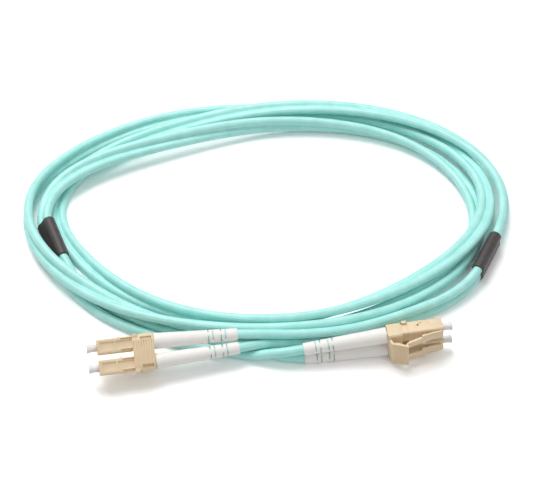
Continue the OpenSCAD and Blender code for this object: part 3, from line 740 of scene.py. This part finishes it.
# %% [markdown]
# ## Boots
# A boot is a soft white sleeve that keeps the leg from bending sharply behind its plug. Pairs of
# slits, each pair a quarter turn from the next, leave only narrow bridges, so that end can bend.
# The slits are real openings in the solid: the leg's colour shows through them. The moulded
# rubber is matt and lets a little light in, which softens its shadow side.

# %% Boots
BOOT_ROUND = 0.07
boots = [rounded(f"boot_{plug}", BOOT_ROUND) for plug in PLUGS]


def boot_material():
    material, tree, shader = new_material("soft white boot", roughness=0.55, ior=1.5,
                                          subsurface_weight=0.12, subsurface_scale=0.6 * MM)
    place = add(tree, "ShaderNodeTexCoord").outputs["Object"]
    cloud = add(tree, "ShaderNodeTexNoise", {"Vector": place, "Scale": per_mm(5.0), "Detail": 3.0})
    # A matt mould leaves a finer skin than this, which wouldn't show
    matt = add(tree, "ShaderNodeTexNoise", {"Vector": place, "Scale": per_mm(0.2), "Detail": 3.0})
    shaded(tree, shader, cloud.outputs["Fac"], "#FDFAF7", "#F5F1EC", matt.outputs["Fac"], 0.008, 0.5)
    return material


white_rubber = boot_material()
for piece in boots:
    covered(piece, white_rubber)
print(len(boots), "pieces in", white_rubber.name)

# %% [markdown]
# ## Dust caps
# A dust cap is a thin milky tube that slips over the ferrule, with a flared end to pull it by. It
# is round everywhere, so its profile is drawn once, from the middle of its front round to the
# middle of its floor, and spun about the plug's axis. The milky plastic spreads the light inside
# it, so a cap glows a little and has no hard shadow side.

# %% Dust caps
HOUSING_FRONT = 17.3
CAP_REACH = 3.1
CAP_END = HOUSING_FRONT + CAP_REACH
CAP_END_T = 0.4
CAP_FLOOR = CAP_END - CAP_END_T
CAP_MOUTH = 13.5
CAP_R, CAP_FLARE_R, CAP_BORE_R = 1.15, 1.45, 0.65
CAP_STEPS = 36
CAP_MERGE = 0.001
CAP_SHARP = math.radians(50)
CAP_PROFILE = [(CAP_END - 0.14, 0), (CAP_END - 0.14, 0.72), (CAP_END - 0.02, 0.86), (CAP_END, 1.0),
               (CAP_END, 1.34), (CAP_END - 0.06, 1.42), (CAP_END - 0.16, CAP_FLARE_R),
               (CAP_END - 0.3, 1.42), (CAP_END - 0.55, 1.32), (CAP_END - 0.9, 1.21),
               (CAP_END - 1.3, CAP_R), (CAP_MOUTH + 0.1, CAP_R), (CAP_MOUTH, CAP_R - 0.1),
               (CAP_MOUTH, CAP_BORE_R + 0.1), (CAP_MOUTH + 0.1, CAP_BORE_R), (CAP_FLOOR, CAP_BORE_R),
               (CAP_FLOOR, 0)]


def spun(name, profile, place):
    """A solid of revolution about X, from a profile that starts and ends on the axis."""
    made = bmesh.new()
    points = [made.verts.new((x, r, 0)) for x, r in profile]
    lines = [made.edges.new(pair) for pair in zip(points, points[1:])]
    bmesh.ops.spin(made, geom=points + lines, cent=(0, 0, 0), axis=(1, 0, 0), angle=2 * math.pi,
                   steps=CAP_STEPS, use_merge=True)
    bmesh.ops.remove_doubles(made, verts=made.verts, dist=CAP_MERGE)
    bmesh.ops.transform(made, matrix=Matrix.Scale(MM, 4) @ place, verts=made.verts)
    bmesh.ops.recalc_face_normals(made, faces=made.faces)
    return smoothed(name, made, CAP_SHARP)


def cap_material():
    material, tree, shader = new_material("milky cap plastic", roughness=0.3, ior=1.46,
                                          transmission_weight=0.1, subsurface_weight=0.3,
                                          subsurface_radius=(1, 1, 1), subsurface_scale=0.8 * MM)
    place = add(tree, "ShaderNodeTexCoord").outputs["Object"]
    haze = add(tree, "ShaderNodeTexNoise", {"Vector": place, "Scale": per_mm(1.5), "Detail": 3.0})
    fine = add(tree, "ShaderNodeTexNoise", {"Vector": place, "Scale": per_mm(0.3), "Detail": 3.0})
    shaded(tree, shader, haze.outputs["Fac"], "#FFFCFA", "#F9F3EF", fine.outputs["Fac"], 0.006, 0.5)
    return material


milky = cap_material()
for plug in PLUGS:
    cap = spun(f"dust_cap_{plug}_tube", CAP_PROFILE, plug_matrix(plug))
    stand_in(cap, f"dust_cap_{plug}")
    covered(cap, milky)

# %% [markdown]
# ## Parts inside the plugs
# The ferrule, its holder, the spring, the rear body and the crimp are already the right shape as
# CAD solids, so they stay and only get their finishes: polished zirconia, turned and plated
# brass, drawn steel wire, and the ivory coating of the buffered fibre.

# %% Finishes inside the plugs


def turned_metal(name, light, dark, roughness, grain):
    """Bare or plated metal with the fine grain, in millimetres, that turning and drawing leave."""
    material, tree, shader = new_material(name, metallic=1.0, roughness=roughness)
    place = add(tree, "ShaderNodeTexCoord").outputs["Object"]
    marks = add(tree, "ShaderNodeTexNoise", {
        "Vector": place, "Scale": per_mm(grain), "Detail": 3.0, "Roughness": 0.7})
    wear = add(tree, "ShaderNodeMapRange", {
        "Value": marks.outputs["Fac"], "To Min": roughness - 0.08, "To Max": roughness + 0.12})
    tree.links.new(wear.outputs["Result"], shader.inputs["Roughness"])
    shaded(tree, shader, marks.outputs["Fac"], light, dark, marks.outputs["Fac"], 0.004, 0.5)
    return material


def dense_finish(name, light, dark, roughness, spot, ior):
    """A pale, dense, smooth material such as zirconia or a coated fibre, with spots in millimetres."""
    material, tree, shader = new_material(name, roughness=roughness, ior=ior)
    place = add(tree, "ShaderNodeTexCoord").outputs["Object"]
    spots = add(tree, "ShaderNodeTexNoise", {"Vector": place, "Scale": per_mm(spot), "Detail": 3.0})
    shaded(tree, shader, spots.outputs["Fac"], light, dark, spots.outputs["Fac"], 0.002, 0.3)
    return material


inner_finishes = {
    "ferrule": dense_finish("polished zirconia", "#FBFAF4", "#F2F0E8", 0.12, 0.6, 2.1),
    "ferrule_holder": turned_metal("plated brass", "#D9D5CB", "#C4BFB2", 0.28, 0.15),
    "spring": turned_metal("drawn spring steel", "#B9BBBE", "#9A9DA1", 0.32, 0.1),
    "rear_body": turned_metal("plated rear body", "#D3D0C8", "#BDB9AF", 0.3, 0.18),
    "crimp_sleeve": turned_metal("soft crimp metal", "#CDCBC6", "#B0ADA6", 0.38, 0.25),
    "fibre": dense_finish("ivory fibre coating", "#F2EEDF", "#E6E0CC", 0.4, 0.8, 1.5),
}
for kind, finish in inner_finishes.items():
    for plug in PLUGS:
        nodes[f"{kind}_{plug}"].material_slots[0].material = finish
print("finishes inside the plugs:", sorted(inner_finishes))

# %% [markdown]
# ## Floor, lamps and world
# A white sweep lit by one big soft lamp from above and behind gives the pale soft shadows of a
# catalogue picture, and a weak second lamp opens the shadows a little. The floor shows white to
# the camera but keeps the shadows. Only the camera, a mirror or a clear piece sees the white.

# %% Floor, lamps and world
# Sizes and places here are in metres
FLOOR_RADIUS = 1.5
# What the floor gives back to the object, and what the camera sees of it
FLOOR_GREY = 0.8
FLOOR_GAIN = 1.4
# The lamps fall off with distance, so past the object the floor fades to plain white
FLOOR_NEAR, FLOOR_FAR = 0.14, 0.3
# The strength of the light that comes from all round
AIR_LIGHT = 0.43


def seen_by_eye(tree):
    """1 on rays from the camera, also by way of a mirror or a clear piece, and 0 on others."""
    path = add(tree, "ShaderNodeLightPath").outputs
    shiny = add(tree, "ShaderNodeMath", {0: path["Is Camera Ray"], 1: path["Is Glossy Ray"]},
                operation="MAXIMUM")
    clear = add(tree, "ShaderNodeMath", {0: shiny.outputs["Value"], 1: path["Is Transmission Ray"]},
                operation="MAXIMUM")
    return clear.outputs["Value"]


def make_floor():
    made = bmesh.new()
    bmesh.ops.create_circle(made, cap_ends=True, segments=96, radius=FLOOR_RADIUS)
    floor = finished("floor", made)
    material, tree, _ = new_material("white sweep")
    eye = seen_by_eye(tree)
    seen = add(tree, "ShaderNodeMix", {
        "Factor": eye, "A": [FLOOR_GREY] * 3 + [1], "B": [FLOOR_GAIN] * 3 + [1]}, data_type="RGBA")
    matt = add(tree, "ShaderNodeBsdfDiffuse", {"Color": seen.outputs["Result"]})
    bright = add(tree, "ShaderNodeEmission", {"Strength": 1.0})
    place = add(tree, "ShaderNodeTexCoord")
    away = add(tree, "ShaderNodeVectorMath", {0: place.outputs["Object"]}, operation="LENGTH")
    far = add(tree, "ShaderNodeMapRange", {"Value": away.outputs["Value"], "From Min": FLOOR_NEAR,
                                           "From Max": FLOOR_FAR})
    far_seen = add(tree, "ShaderNodeMath", {0: far.outputs["Result"], 1: eye}, operation="MULTIPLY")
    surface = add(tree, "ShaderNodeMixShader", {0: far_seen.outputs["Value"], 1: matt.outputs["BSDF"],
                                                2: bright.outputs["Emission"]})
    tree.links.new(surface.outputs["Shader"], tree.nodes["Material Output"].inputs["Surface"])
    floor.data.materials.append(material)


def lamp(name, place, size, power):
    light = bpy.data.lights.new(name, "AREA")
    light.shape = "DISK"
    light.size = size
    light.energy = power
    holder = bpy.data.objects.new(name, light)
    holder.location = place
    holder.rotation_euler = (-Vector(place)).to_track_quat("-Z", "Y").to_euler()
    bpy.context.scene.collection.objects.link(holder)


make_floor()
lamp("key", place=(-0.16, 0.3, 0.75), size=0.55, power=4.75)
lamp("fill", place=(0.5, -0.4, 0.6), size=0.5, power=0.35)
world = bpy.data.worlds.new("studio")
bpy.context.scene.world = world
world.use_nodes = True
air = world.node_tree
level = add(air, "ShaderNodeMapRange", {"Value": seen_by_eye(air), "To Min": AIR_LIGHT, "To Max": 1.0})
air.links.new(level.outputs["Result"], air.nodes["Background"].inputs["Strength"])
air.nodes["Background"].inputs["Color"].default_value = linear("#FFFFFF")
print("lamps:", [light.name for light in bpy.data.lights])
